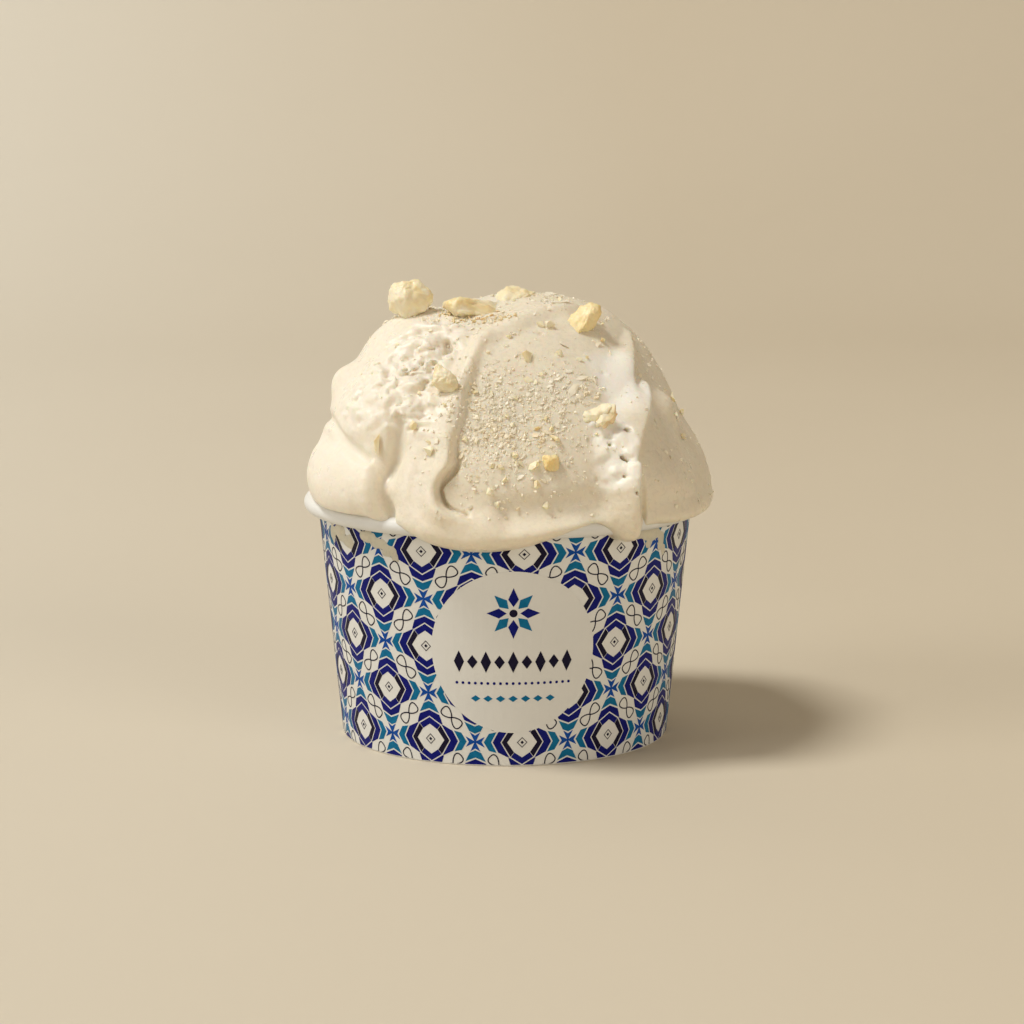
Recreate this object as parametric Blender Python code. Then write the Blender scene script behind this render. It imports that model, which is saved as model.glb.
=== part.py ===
"""Paper tub heaped with nut gelato, built in metres with +Z up.

The origin is on the cup's axis at the floor it stands on, and -Y is the front.
Lengths below are in millimetres and angles in degrees.
"""
import math

import bmesh
import bpy
import numpy as np
from mathutils import Euler, Matrix, Vector

MM = 0.001
GAP = 0.3              # clearance between pieces that touch
SEGMENTS = 72          # facets around the cup and the gelato

# Cup
CUP_HEIGHT = 57.2
RIM_RADIUS = 47.5      # outermost reach of the rolled rim
ROLL_RADIUS = 1.9      # radius of the rim's rolled tube
FOOT_RADIUS = 38.7     # outside of the wall at the floor
PAPER = 0.5
BASE_HEIGHT = 6.0      # height of the base disc's underside above the floor
BASE_THICKNESS = 0.6
HEM = 1.5              # thickness of the folded hem that the base disc rests on
ROLL_CENTRE_R = RIM_RADIUS - ROLL_RADIUS
ROLL_CENTRE_Z = CUP_HEIGHT - ROLL_RADIUS
TOP_RADIUS = ROLL_CENTRE_R - ROLL_RADIUS + PAPER

# Gelato
CENTRE = np.array([0.0, 0.0, 56.0])   # azimuths and elevations are taken about this point
CAP_ROWS = 25                         # rings from the crown down to the lip
LIP_LEVEL = 57.1                      # height at which the lip meets the rim, where it does not sag
LIP_SAGS = [                          # azimuth, how far the lip hangs down, half width
    (-8, 6.0, 20), (37, 4.2, 9), (53, 1.4, 14), (150, 3.2, 16), (205, 4.8, 13), (258, 2.6, 12),
]
HEART = ((0.5, 0.5, 57.0), (46.0, 47.0, 44.5))   # centre and radii of the heap's main mass
BULGES = [                            # centre, radii and blend of each swelling, in the order they merge
    ((7.0, 3.0, 81.0), (31.0, 26.5, 22.5), 6.0),
    ((28.0, -6.0, 62.0), (20.3, 28.0, 14.0), 8.0),
]
SCRAPES = [                           # outward normal, a point on the flat and blend of each spatula stroke
    ((0.83, -0.22, 0.53), (37.0, -8.0, 84.5), 5.0),
    ((0.04, -0.83, 0.56), (5.0, -36.5, 80.0), 3.0),
    ((-0.35, 0.74, 0.57), (-14.0, 33.0, 82.0), 4.0),
]
HEAPS = [                             # swellings that lie over the strokes
    ((-19.5, -12.0, 77.0), (20.5, 26.0, 20.5), 4.0),
    ((-21.5, -4.0, 86.0), (16.5, 19.0, 12.8), 5.0),
    ((-26.0, -9.0, 62.0), (20.0, 30.5, 14.5), 1.0),
    ((16.0, 24.0, 70.0), (22.0, 19.5, 18.0), 3.0),
]
FOLDS = {                             # blend, then azimuth, elevation, height and radius along each fold
    "tongue": (4.0, [(-8, 61, 0.6, 2.6), (-17, 43, 2.2, 4.4), (-22, 26, 3.0, 5.2),
                     (-24, 18, 3.6, 5.2), (-27, 11, 3.0, 4.8), (-20, -1, 3.0, 5.2)]),
    "front_roll": (4.0, [(-30, -1, 1.0, 4.0), (-9, -2.6, 2.6, 5.0), (12, -1, 2.0, 4.2), (37, -0.5, 1.6, 4.0)]),
    "inner_fold": (2.5, [(76, 54, 0.4, 1.6), (54, 43, 1.6, 2.4), (38, 30, 1.6, 4.4), (36, 15, 1.0, 5.2)]),
    "outer_fold": (1.8, [(70, 41, 0.8, 1.6), (59, 31, 2.0, 2.6), (45, 20, 2.0, 2.8), (40, 8, 2.2, 3.2),
                         (37, -3, 2.4, 3.8)]),
    "back_sweep": (3.0, [(-150, 66, 0.8, 2.6), (-172, 44, 2.2, 4.0), (172, 24, 2.8, 4.6), (160, 8, 2.4, 4.6)]),
    "side_sweep": (2.5, [(-96, 60, 0.6, 2.2), (-112, 42, 1.8, 3.2), (-120, 22, 2.2, 4.0), (-117, 5, 1.6, 4.0)]),
    "back_roll": (4.0, [(185, -1, 1.4, 4.0), (205, -2, 2.2, 4.6), (228, 0, 1.2, 4.0)]),
}
FURROWS = {                           # the same for hollows, with depth in place of height
    "tear": (1.2, [(-36, 30, 1.0, 1.8), (-34, 18, 2.0, 2.4), (-34, 6, 1.4, 1.8), (-32, 1, 0.8, 1.6)]),
    "tongue_edge": (1.0, [(-14, 24, 0.6, 1.8), (-18, 13, 1.6, 2.0), (-15, 4, 0.6, 1.8)]),
}
STEPS_PER_SPAN = 4                    # smooth points added between two points of a fold

# Nuts: azimuth, elevation, height of the centre over the gelato, size, turn about X, Y and Z, seed
NUTS = [
    (-71, 63.0, 4.4, (9.6, 8.0, 9.6), (12, -14, 20), 3),
    (-36, 76.0, 1.4, (16.6, 7.5, 5.6), (4, 6, -8), 5),
    (75, 86.0, 0.2, (9.4, 7.5, 4.8), (8, -8, 30), 8),
    (56, 63.0, 1.2, (13.0, 5.8, 5.6), (-38, -42, 14), 4),
    (-24, 46.0, 0.3, (6.2, 5.0, 5.4), (10, 20, 15), 7),
    (31, 30.0, 0.6, (9.2, 3.6, 4.4), (20, -20, 25), 9),
    (13.5, 18.0, 0.6, (4.8, 3.8, 3.8), (15, 10, 30), 2),
    (158, 58.0, 1.4, (9.5, 7.0, 6.0), (-24, 10, 35), 6),
    (-128, 50.0, 1.2, (8.0, 6.5, 5.5), (-20, -24, -20), 1),
]
NUT_POINTS = 22                       # points whose hull is a nut's broken shape


def clear_scene():
    for obj in list(bpy.data.objects):
        bpy.data.objects.remove(obj)


def make_material(name, colour, roughness):
    material = bpy.data.materials.new(name)
    material.use_nodes = True
    shader = material.node_tree.nodes["Principled BSDF"]
    shader.inputs["Base Color"].default_value = (*colour, 1.0)
    shader.inputs["Roughness"].default_value = roughness
    shader.inputs["Metallic"].default_value = 0.0
    material.diffuse_color = (*colour, 1.0)
    return material


def add_object(name, mesh, material):
    mesh.materials.append(material)
    obj = bpy.data.objects.new(name, mesh)
    bpy.context.collection.objects.link(obj)
    return obj


def ring_directions():
    turns = np.radians(np.arange(SEGMENTS) * 360.0 / SEGMENTS)
    return np.stack([np.sin(turns), -np.cos(turns)], axis=-1)


def mesh_from_rings(name, rings, closed_profile):
    """Skin rings of SEGMENTS points in millimetres; an open profile ends in a point at each end."""
    verts = [tuple(v) for ring in rings for v in ring * MM]
    faces = []
    last = len(rings) if closed_profile else len(rings) - 1
    for row in range(last):
        here, below = row * SEGMENTS, (row + 1) % len(rings) * SEGMENTS
        for i in range(SEGMENTS):
            j = (i + 1) % SEGMENTS
            faces.append((here + i, below + i, below + j, here + j))
    if not closed_profile:
        for row, order in ((0, 1), (len(rings) - 1, -1)):
            tip = len(verts)
            verts.append((0.0, 0.0, float(rings[row][:, 2].mean()) * MM))
            for i in range(SEGMENTS):
                pair = (row * SEGMENTS + i, row * SEGMENTS + (i + 1) % SEGMENTS)
                faces.append((tip, *pair[::order]))
    mesh = bpy.data.meshes.new(name)
    mesh.from_pydata(verts, [], faces)
    mesh.validate()
    bm = bmesh.new()
    bm.from_mesh(mesh)
    bmesh.ops.recalc_face_normals(bm, faces=bm.faces)
    bm.to_mesh(mesh)
    bm.free()
    mesh.shade_smooth()
    return mesh


def turned(name, profile, closed_profile=True):
    """Turn a profile of (radius, height) points about the cup's axis."""
    around = ring_directions()
    rings = [np.column_stack([around * r, np.full(SEGMENTS, z)]) for r, z in profile]
    return mesh_from_rings(name, rings, closed_profile)


def arc(centre_r, centre_z, radius, start, end, count):
    angles = np.radians(np.linspace(start, end, count))
    return [(centre_r + radius * math.cos(a), centre_z + radius * math.sin(a)) for a in angles]


def wall_radius(height):
    """Outside of the sloping wall."""
    return FOOT_RADIUS + (TOP_RADIUS - FOOT_RADIUS) * height / ROLL_CENTRE_Z


# ---- cup ----

def build_cup_wall(material):
    under_roll = ROLL_CENTRE_Z - ROLL_RADIUS
    outside = [(wall_radius(0), 0.0), (wall_radius(under_roll / 2), under_roll / 2),
               (wall_radius(under_roll), under_roll)]
    roll = arc(ROLL_CENTRE_R, ROLL_CENTRE_Z, ROLL_RADIUS, -100, 180, 10)
    ledge = BASE_HEIGHT - GAP
    inside = [(wall_radius(CUP_HEIGHT / 2) - PAPER, CUP_HEIGHT / 2), (wall_radius(ledge) - PAPER, ledge)]
    hem = [(wall_radius(ledge) - HEM, ledge), (wall_radius(0) - HEM, 0.0)]
    mesh = turned("cup_wall", outside + roll + inside + hem)
    return add_object("cup_wall", mesh, material)


def build_cup_base(material):
    radius = wall_radius(BASE_HEIGHT) - PAPER - GAP
    profile = [(radius, BASE_HEIGHT + BASE_THICKNESS), (radius, BASE_HEIGHT)]
    mesh = turned("cup_base", profile, closed_profile=False)
    return add_object("cup_base", mesh, material)


# ---- gelato ----

def smooth_union(a, b, blend):
    h = np.clip(0.5 + 0.5 * (b - a) / blend, 0, 1)
    return b * (1 - h) + a * h - blend * h * (1 - h)


def smooth_cut(a, b, blend):
    return -smooth_union(-a, -b, blend)


def ellipsoid(points, centre, radii):
    offset = (points - centre) / radii
    near = np.linalg.norm(offset, axis=-1)
    return near * (near - 1) / (np.linalg.norm(offset / radii, axis=-1) + 1e-9)


def flat(points, normal, through):
    normal = np.array(normal) / np.linalg.norm(normal)
    return (points - through) @ normal


def dome(points):
    """Signed distance to the heap without its folds: negative inside."""
    field = ellipsoid(points, np.array(HEART[0]), np.array(HEART[1]))
    for centre, radii, blend in BULGES:
        field = smooth_union(field, ellipsoid(points, np.array(centre), np.array(radii)), blend)
    for normal, through, blend in SCRAPES:
        field = smooth_cut(field, flat(points, normal, np.array(through)), blend)
    for centre, radii, blend in HEAPS:
        field = smooth_union(field, ellipsoid(points, np.array(centre), np.array(radii)), blend)
    return field


def direction(azimuth, elevation):
    azimuth, elevation = np.radians(azimuth), np.radians(elevation)
    level = np.cos(elevation)
    return np.stack([np.sin(azimuth) * level, -np.cos(azimuth) * level, np.sin(elevation)], axis=-1)


def surface_radius(field, ways, nearest=25.0, furthest=62.0):
    """Distance from CENTRE to the outermost surface along each way, or 0 where it meets none."""
    reach = np.linspace(furthest, nearest, 60)
    points = CENTRE + ways[:, None, :] * reach[:, None]
    inside = field(points.reshape(-1, 3)).reshape(points.shape[:-1]) < 0
    first = np.argmax(inside, axis=-1)
    outer, inner = reach[np.maximum(first - 1, 0)], reach[first]
    for _ in range(14):
        middle = (outer + inner) / 2
        solid = field(CENTRE + ways * middle[:, None]) < 0
        inner = np.where(solid, middle, inner)
        outer = np.where(solid, outer, middle)
    return np.where(inside.any(axis=-1), (outer + inner) / 2, 0.0)


def smooth_rows(rows):
    """Catmull-Rom points through hand-set rows."""
    rows = np.array(rows, float)
    ends = np.vstack([2 * rows[0] - rows[1], rows, 2 * rows[-1] - rows[-2]])
    out = []
    for a, b, c, d in zip(ends[:-3], ends[1:-2], ends[2:-1], ends[3:]):
        for t in np.arange(STEPS_PER_SPAN) / STEPS_PER_SPAN:
            out.append(0.5 * (2 * b + (c - a) * t + (2 * a - 5 * b + 4 * c - d) * t**2
                              + (3 * b - a - 3 * c + d) * t**3))
    return np.array(out + [rows[-1]])


def place_on_dome(rows, sign):
    """Centres and radii of a fold (sign 1) or a furrow (sign -1) laid along the dome."""
    rows = smooth_rows(rows)
    ways = direction(rows[:, 0], rows[:, 1])
    stand = sign * (rows[:, 2] - rows[:, 3])
    return CENTRE + ways * (surface_radius(dome, ways) + stand)[:, None], rows[:, 3]


def rope(points, centres, radii):
    field = np.full(len(points), np.inf)
    for a, b, r_a, r_b in zip(centres[:-1], centres[1:], radii[:-1], radii[1:]):
        along = np.clip((points - a) @ (b - a) / ((b - a) @ (b - a)), 0, 1)
        reach = np.linalg.norm(points - a - along[:, None] * (b - a), axis=-1)
        field = np.minimum(field, reach - (r_a + (r_b - r_a) * along))
    return field


def gelato_field():
    folds = [(blend, *place_on_dome(rows, 1)) for blend, rows in FOLDS.values()]
    furrows = [(blend, *place_on_dome(rows, -1)) for blend, rows in FURROWS.values()]

    def field(points):
        value = dome(points)
        for blend, centres, radii in folds:
            value = smooth_union(value, rope(points, centres, radii), blend)
        for blend, centres, radii in furrows:
            value = smooth_cut(value, -rope(points, centres, radii), blend)
        return value
    return field


def lip_height(azimuth):
    level = LIP_LEVEL
    for middle, depth, half_width in LIP_SAGS:
        away = abs((azimuth - middle + 180) % 360 - 180)
        level -= depth * math.exp(-(away / half_width) ** 3)
    return level


def rim_path():
    """Points just clear of the cup, from outside the wall over the rim to its inside."""
    low = LIP_LEVEL - 8
    under_roll = ROLL_CENTRE_Z - ROLL_RADIUS - GAP
    wall = [(wall_radius(z) + GAP, z) for z in np.linspace(low, under_roll, 6)]
    return np.array(wall + arc(ROLL_CENTRE_R, ROLL_CENTRE_Z, ROLL_RADIUS + GAP, -90, 90, 25))


def contact_point(path, height):
    """The point of the rim path at a height, and its place along the path."""
    where = int(np.argmax(path[:, 1] >= height))
    below, above = path[where - 1], path[where]
    share = (height - below[1]) / (above[1] - below[1])
    return below + (above - below) * share, where - 1 + share


def along_path(path, place):
    low = min(int(place), len(path) - 2)
    return path[low] + (path[low + 1] - path[low]) * (place - low)


def cap_rings(field, contacts):
    """The visible surface, from the crown down to where the lip meets the cup."""
    lowest = np.degrees(np.arctan2(contacts[:, 1] - CENTRE[2], contacts[:, 0]))
    azimuths = np.arange(SEGMENTS) * 360.0 / SEGMENTS
    turn = np.radians(azimuths)
    limit = contacts[:, 0] / np.cos(np.radians(lowest))
    rings = []
    for row in range(1, CAP_ROWS + 1):
        elevation = 90 - (90 - lowest) * row / CAP_ROWS
        ways = direction(azimuths, elevation)

        def cut_at_lip(points):
            around = np.arctan2(points[:, 0], -points[:, 1])
            level = np.interp(around % (2 * math.pi), turn, contacts[:, 1], period=2 * math.pi)
            return smooth_cut(field(points), level - points[:, 2], 1.5)
        radius = surface_radius(cut_at_lip, ways)
        if row == CAP_ROWS:
            radius = np.maximum(radius, limit + GAP)
        rings.append(CENTRE + ways * radius[:, None])
    return rings


def gelato_rings():
    path = rim_path()
    azimuths = np.arange(SEGMENTS) * 360.0 / SEGMENTS
    found = [contact_point(path, lip_height(a)) for a in azimuths]
    contacts = np.array([point for point, _ in found])
    around = ring_directions()
    rings = cap_rings(gelato_field(), contacts)
    top_of_roll = len(path) - 1
    for share in (0.0, 0.2, 0.4, 0.6, 0.8, 1.0):
        places = [along_path(path, place + (top_of_roll - place) * share) for _, place in found]
        r, z = np.array(places).T
        rings.append(np.column_stack([around * r[:, None], z]))
    floor = BASE_HEIGHT + BASE_THICKNESS + GAP
    over_rim = arc(ROLL_CENTRE_R, ROLL_CENTRE_Z, ROLL_RADIUS + GAP, 120, 180, 3)
    inside = [(wall_radius(z) - PAPER - GAP, z) for z in (CUP_HEIGHT / 2, floor)]
    for r, z in over_rim + inside + [(wall_radius(floor) / 2, floor)]:
        rings.append(np.column_stack([around * r, np.full(SEGMENTS, z)]))
    return rings


def build_gelato(material, cutters):
    mesh = mesh_from_rings("gelato", gelato_rings(), closed_profile=False)
    obj = add_object("gelato", mesh, material)
    for cutter in cutters:
        pocket = obj.modifiers.new(cutter.name, "BOOLEAN")
        pocket.object = cutter
        pocket.operation = "DIFFERENCE"
        pocket.solver = "EXACT"
    return obj


# ---- nuts ----

def nut_mesh(name, size, seed):
    """A broken kernel: the hull of points scattered over a squared-off ellipsoid."""
    random = np.random.default_rng(seed)
    ways = random.normal(size=(NUT_POINTS, 3))
    ways /= np.linalg.norm(ways, axis=1)[:, None]
    squared = np.sign(ways) * np.abs(ways) ** 0.7
    points = squared * np.array(size) / 2 * random.uniform(0.86, 1.06, (NUT_POINTS, 1))
    bm = bmesh.new()
    for point in points:
        bm.verts.new(Vector(point) * MM)
    bmesh.ops.convex_hull(bm, input=bm.verts)
    bmesh.ops.delete(bm, geom=[vert for vert in bm.verts if not vert.link_faces], context="VERTS")
    bmesh.ops.recalc_face_normals(bm, faces=bm.faces)
    mesh = bpy.data.meshes.new(name)
    bm.to_mesh(mesh)
    bm.free()
    return mesh


def clearance_mesh(name, mesh):
    """The nut grown by GAP all over, as the shape of its pocket."""
    bm = bmesh.new()
    bm.from_mesh(mesh)
    planes = [(face.normal.copy(), face.normal.dot(face.verts[0].co) + GAP * MM) for face in bm.faces]
    bm.free()
    nearest = min(distance for _, distance in planes)
    grown = mesh.copy()
    grown.name = name
    grown.transform(Matrix.Scale(nearest / (nearest - GAP * MM), 4))
    return grown


def build_nuts(material, field):
    nuts, cutters = [], []
    for number, (azimuth, elevation, stand, size, turn, seed) in enumerate(NUTS, 1):
        way = direction(np.array([azimuth]), np.array([elevation]))
        place = CENTRE + way[0] * (surface_radius(field, way)[0] + stand)
        pose = Matrix.LocRotScale(Vector(place) * MM, Euler([math.radians(a) for a in turn]), None)
        mesh = nut_mesh(f"nut_{number}", size, seed)
        cutter = add_object(f"pocket_{number}", clearance_mesh(f"pocket_{number}", mesh), material)
        cutter.hide_render = True
        cutter.display_type = "WIRE"
        cutter.matrix_world = pose
        nut = add_object(f"nut_{number}", mesh, material)
        nut.matrix_world = pose
        nuts.append(nut)
        cutters.append(cutter)
    return nuts, cutters


def main():
    clear_scene()
    paper = make_material("paper", (0.78, 0.74, 0.66), 0.55)
    board = make_material("board", (0.74, 0.70, 0.62), 0.65)
    cream = make_material("gelato", (0.80, 0.70, 0.53), 0.45)
    kernel = make_material("nut", (0.83, 0.62, 0.30), 0.5)
    build_cup_wall(paper)
    build_cup_base(board)
    cutters = build_nuts(kernel, gelato_field())[1]
    build_gelato(cream, cutters)


main()
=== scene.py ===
"""Looks of a paper tub heaped with nut gelato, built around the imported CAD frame.

Shapes are worked out in millimetres and degrees, and scaled to metres when a mesh is made.
"""
import math

import bmesh
import bpy
import numpy as np
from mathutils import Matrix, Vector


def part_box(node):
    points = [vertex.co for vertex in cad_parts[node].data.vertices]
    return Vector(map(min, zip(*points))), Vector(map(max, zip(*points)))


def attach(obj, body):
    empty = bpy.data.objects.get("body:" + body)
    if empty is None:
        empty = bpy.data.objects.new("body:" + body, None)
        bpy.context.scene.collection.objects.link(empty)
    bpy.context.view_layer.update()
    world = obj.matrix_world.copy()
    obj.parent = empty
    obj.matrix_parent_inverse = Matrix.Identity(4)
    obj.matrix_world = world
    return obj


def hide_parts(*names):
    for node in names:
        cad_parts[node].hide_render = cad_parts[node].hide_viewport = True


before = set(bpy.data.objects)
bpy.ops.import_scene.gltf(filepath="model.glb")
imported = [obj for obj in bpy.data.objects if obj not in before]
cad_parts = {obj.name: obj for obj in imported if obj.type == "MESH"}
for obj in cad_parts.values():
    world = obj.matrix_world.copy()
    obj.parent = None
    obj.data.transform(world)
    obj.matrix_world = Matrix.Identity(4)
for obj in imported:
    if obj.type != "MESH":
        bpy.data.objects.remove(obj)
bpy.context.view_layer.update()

import openvdb
from mathutils import Matrix, Vector
from mathutils.bvhtree import BVHTree
from mathutils.noise import fractal, noise_vector, seed_set

MM = 0.001
seed_set(3)       # noise_vector gives the same values each run only when this is set


# ---- sizes read from the frame

def vertex_places(mesh):
    """A mesh's vertices in millimetres."""
    places = np.empty(len(mesh.vertices) * 3, np.float32)
    mesh.vertices.foreach_get("co", places)
    return places.reshape(-1, 3).astype(float) / MM


WALL_POINTS = vertex_places(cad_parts["cup_wall"].data)
WALL_RADII = np.hypot(WALL_POINTS[:, 0], WALL_POINTS[:, 1])
CUP_HEIGHT = float(WALL_POINTS[:, 2].max())
RIM_RADIUS = float(WALL_RADII.max())
FOOT_RADII = WALL_RADII[WALL_POINTS[:, 2] < 0.01]
FOOT_RADIUS, FOOT_INNER_RADIUS = float(FOOT_RADII.max()), float(FOOT_RADII.min())
BASE_BOTTOM, BASE_TOP = (corner[2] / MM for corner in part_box("cup_base"))
PAPER = 0.5
ROLL_RADIUS = 1.9
ROLL_CENTRE_R = RIM_RADIUS - ROLL_RADIUS
ROLL_CENTRE_Z = CUP_HEIGHT - ROLL_RADIUS
TOP_RADIUS = ROLL_CENTRE_R - ROLL_RADIUS + PAPER
MEAN_RADIUS = (FOOT_RADIUS + TOP_RADIUS) / 2
HALF_TURN = math.pi * MEAN_RADIUS
SEAM_AZIMUTH = 180.0
SEAM_STEP = 0.32       # how far the wall's overlapped side seam stands proud


def wall_radius(height):
    return FOOT_RADIUS + (TOP_RADIUS - FOOT_RADIUS) * height / ROLL_CENTRE_Z


# ---- small helpers

def lattice_noise(points, scale, seed):
    """Smooth noise from -1 to 1 that repeats every 32 cells."""
    table = np.random.default_rng(seed).uniform(-1, 1, (32, 32, 32)).astype(np.float32)
    spot = points / scale
    cell = np.floor(spot).astype(np.int64)
    share = spot - cell
    share = share * share * (3 - 2 * share)
    total = 0
    for corner in range(8):
        step = np.array([corner & 1, corner >> 1 & 1, corner >> 2])
        i, j, k = ((cell + step) % 32).T
        total = total + table[i, j, k] * np.prod(np.where(step, share, 1 - share), axis=-1)
    return total


def smoothstep(low, high, value):
    t = np.clip((value - low) / (high - low), 0, 1)
    return t * t * (3 - 2 * t)


def band(value, start, full, fade, end):
    """1 from full to fade, falling off smoothly to 0 at start and at end."""
    return smoothstep(start, full, value) * smoothstep(end, fade, value)


def smooth_union(a, b, blend):
    h = np.clip(0.5 + 0.5 * (b - a) / blend, 0, 1)
    return b * (1 - h) + a * h - blend * h * (1 - h)


def smooth_cut(a, b, blend):
    return -smooth_union(-a, -b, blend)


def ellipsoid(points, centre, radii):
    offset = (points - np.array(centre)) / np.array(radii)
    near = np.linalg.norm(offset, axis=-1)
    return near * (near - 1) / (np.linalg.norm(offset / np.array(radii), axis=-1) + 1e-9)


def flat(points, normal, through):
    normal = np.array(normal) / np.linalg.norm(normal)
    return (points - np.array(through)) @ normal


def add_to_scene(name, data):
    obj = bpy.data.objects.new(name, data)
    bpy.context.scene.collection.objects.link(obj)
    return obj


def new_object(name, mesh, material):
    """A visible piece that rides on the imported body."""
    mesh.materials.append(material)
    obj = add_to_scene(name, mesh)
    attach(obj, "root")
    return obj


def mesh_from_arrays(name, verts, faces, smooth=True):
    mesh = bpy.data.meshes.new(name)
    mesh.from_pydata((np.asarray(verts) * MM).tolist(), [], [tuple(map(int, f)) for f in faces])
    mesh.update()
    if smooth:
        mesh.shade_smooth()
    return mesh


def finished_mesh(bm, name, sharp_angle=None):
    """A smooth-shaded mesh from bm, with edges steeper than sharp_angle degrees kept sharp."""
    mesh = bpy.data.meshes.new(name)
    bm.to_mesh(mesh)
    bm.free()
    mesh.shade_smooth()
    if sharp_angle:
        mesh.set_sharp_from_angle(angle=math.radians(sharp_angle))
    return mesh


def relax(bm, verts, factor):
    bmesh.ops.smooth_vert(bm, verts=verts, factor=factor,
                          use_axis_x=True, use_axis_y=True, use_axis_z=True)


def thicken(bm):
    """Close a sheet with a second layer, and give the vertices that were made."""
    made = bmesh.ops.extrude_face_region(bm, geom=bm.faces[:])["geom"]
    return [part for part in made if isinstance(part, bmesh.types.BMVert)]


def box_middle(name):
    low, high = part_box(name)
    return (Vector(low) + Vector(high)) / 2


def round_axis(turn, reach, height):
    """The point in metres at a turn in radians from the front, a reach and a height in millimetres."""
    return Vector((math.sin(turn) * reach, -math.cos(turn) * reach, height)) * MM


# ---- materials

def base_material(name, colour, roughness):
    material = bpy.data.materials.new(name)
    material.use_nodes = True
    tree = material.node_tree
    shader = tree.nodes["Principled BSDF"]
    shader.inputs["Base Color"].default_value = (*colour, 1.0)
    shader.inputs["Roughness"].default_value = roughness
    material.diffuse_color = (*colour, 1.0)
    return material, tree, shader


def add_node(tree, kind, **values):
    node = tree.nodes.new(kind)
    for key, value in values.items():
        if key in node.inputs:
            node.inputs[key].default_value = value
        else:
            setattr(node, key, value)
    return node


def object_coordinates(tree, stretch=(1, 1, 1)):
    place = add_node(tree, "ShaderNodeTexCoord")
    mapping = add_node(tree, "ShaderNodeMapping")
    mapping.inputs["Scale"].default_value = stretch
    tree.links.new(place.outputs["Object"], mapping.inputs["Vector"])
    return mapping.outputs["Vector"]


def noise_texture(tree, vector, scale, detail=4.0, rough=0.55):
    node = add_node(tree, "ShaderNodeTexNoise", Scale=scale, Detail=detail, Roughness=rough)
    tree.links.new(vector, node.inputs["Vector"])
    return node.outputs["Fac"]


def ramp(tree, factor, stops):
    node = tree.nodes.new("ShaderNodeValToRGB")
    elements = node.color_ramp.elements
    while len(elements) < len(stops):
        elements.new(0.5)
    for element, (position, colour) in zip(elements, stops):
        element.position = position
        element.color = (*colour, 1.0) if len(colour) == 3 else colour
    tree.links.new(factor, node.inputs["Fac"])
    return node.outputs["Color"]


def grey(value):
    return (value, value, value)


def vary_roughness(tree, shader, factor, *stops):
    tones = [(position, grey(value)) for position, value in stops]
    tree.links.new(ramp(tree, factor, tones), shader.inputs["Roughness"])


def make_translucent(shader, weight, spread, scale):
    shader.inputs["Subsurface Weight"].default_value = weight
    shader.inputs["Subsurface Radius"].default_value = spread
    shader.inputs["Subsurface Scale"].default_value = scale


def scaled(colour, factor):
    return tuple(min(1.0, channel * factor) for channel in colour)


def mix_colours(tree, factor, first, second):
    node = add_node(tree, "ShaderNodeMix", data_type="RGBA")
    tree.links.new(factor, node.inputs["Factor"])
    for socket, value in ((node.inputs[6], first), (node.inputs[7], second)):
        if isinstance(value, tuple):
            socket.default_value = (*value, 1.0)
        else:
            tree.links.new(value, socket)
    return node.outputs[2]


def bump(tree, shader, height, strength, distance):
    node = add_node(tree, "ShaderNodeBump", Strength=strength, Distance=distance)
    tree.links.new(height, node.inputs["Height"])
    below = shader.inputs["Normal"].links
    if below:
        tree.links.new(below[0].from_socket, node.inputs["Normal"])
    tree.links.new(node.outputs["Normal"], shader.inputs["Normal"])


CREAM = (0.84, 0.762, 0.607)
# Whiter cream laid by a mask: partly aerated torn gelato, partly painted light on the lit left side and
# the lit fold on the right.
AERATED_AND_PAINTED_LIGHT_CREAM = (0.95, 0.90, 0.80)


def gelato_material(name, cream):
    material, tree, shader = base_material(name, cream, 0.42)
    make_translucent(shader, 0.35, (1.0, 0.62, 0.36), 0.0035)
    shader.inputs["Specular IOR Level"].default_value = 0.42
    place = object_coordinates(tree)
    broad = noise_texture(tree, place, 45.0, 3.0)
    fine = noise_texture(tree, place, 900.0, 5.0, 0.65)
    tone = ramp(tree, broad, [(0.3, scaled(cream, 0.96)), (0.7, scaled(cream, 1.03))])
    specks = ramp(tree, fine, [(0.40, scaled(cream, 0.88)), (0.50, cream)])
    # The mask whitens torn gelato, and also paints light on the lit left side and the lit fold on the
    # right.
    aerated_and_painted_light = add_node(tree, "ShaderNodeAttribute", attribute_name="aerated_and_painted_light").outputs["Fac"]
    tinted = mix_colours(tree, aerated_and_painted_light, mix_colours(tree, broad, tone, specks), AERATED_AND_PAINTED_LIGHT_CREAM)
    tree.links.new(tinted, shader.inputs["Base Color"])
    vary_roughness(tree, shader, noise_texture(tree, place, 160.0, 4.0), (0.35, 0.27), (0.7, 0.50))
    bump(tree, shader, noise_texture(tree, place, 420.0, 6.0, 0.6), 0.5, 0.00045)
    bump(tree, shader, fine, 0.18, 0.00015)
    return material


def nut_material(name, pale, gold, brown, glow=0.25):
    material, tree, shader = base_material(name, pale, 0.42)
    make_translucent(shader, glow, (1.0, 0.6, 0.25), 0.0012)
    place = object_coordinates(tree)
    broad = noise_texture(tree, place, 170.0, 4.0, 0.6)
    tone = ramp(tree, broad, [(0.36, pale), (0.54, gold), (0.74, brown)])
    island = add_node(tree, "ShaderNodeNewGeometry").outputs["Random Per Island"]
    paler = ramp(tree, island, [(0.0, pale), (1.0, scaled(pale, 0.86))])
    patches = noise_texture(tree, place, 90.0, 2.0)
    share = ramp(tree, patches, [(0.42, grey(0.15)), (0.62, grey(0.85))])
    tree.links.new(mix_colours(tree, share, paler, tone), shader.inputs["Base Color"])
    vary_roughness(tree, shader, broad, (0.3, 0.32), (0.7, 0.55))
    bump(tree, shader, noise_texture(tree, place, 1300.0, 5.0, 0.65), 0.4, 0.00025)
    return material


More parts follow.
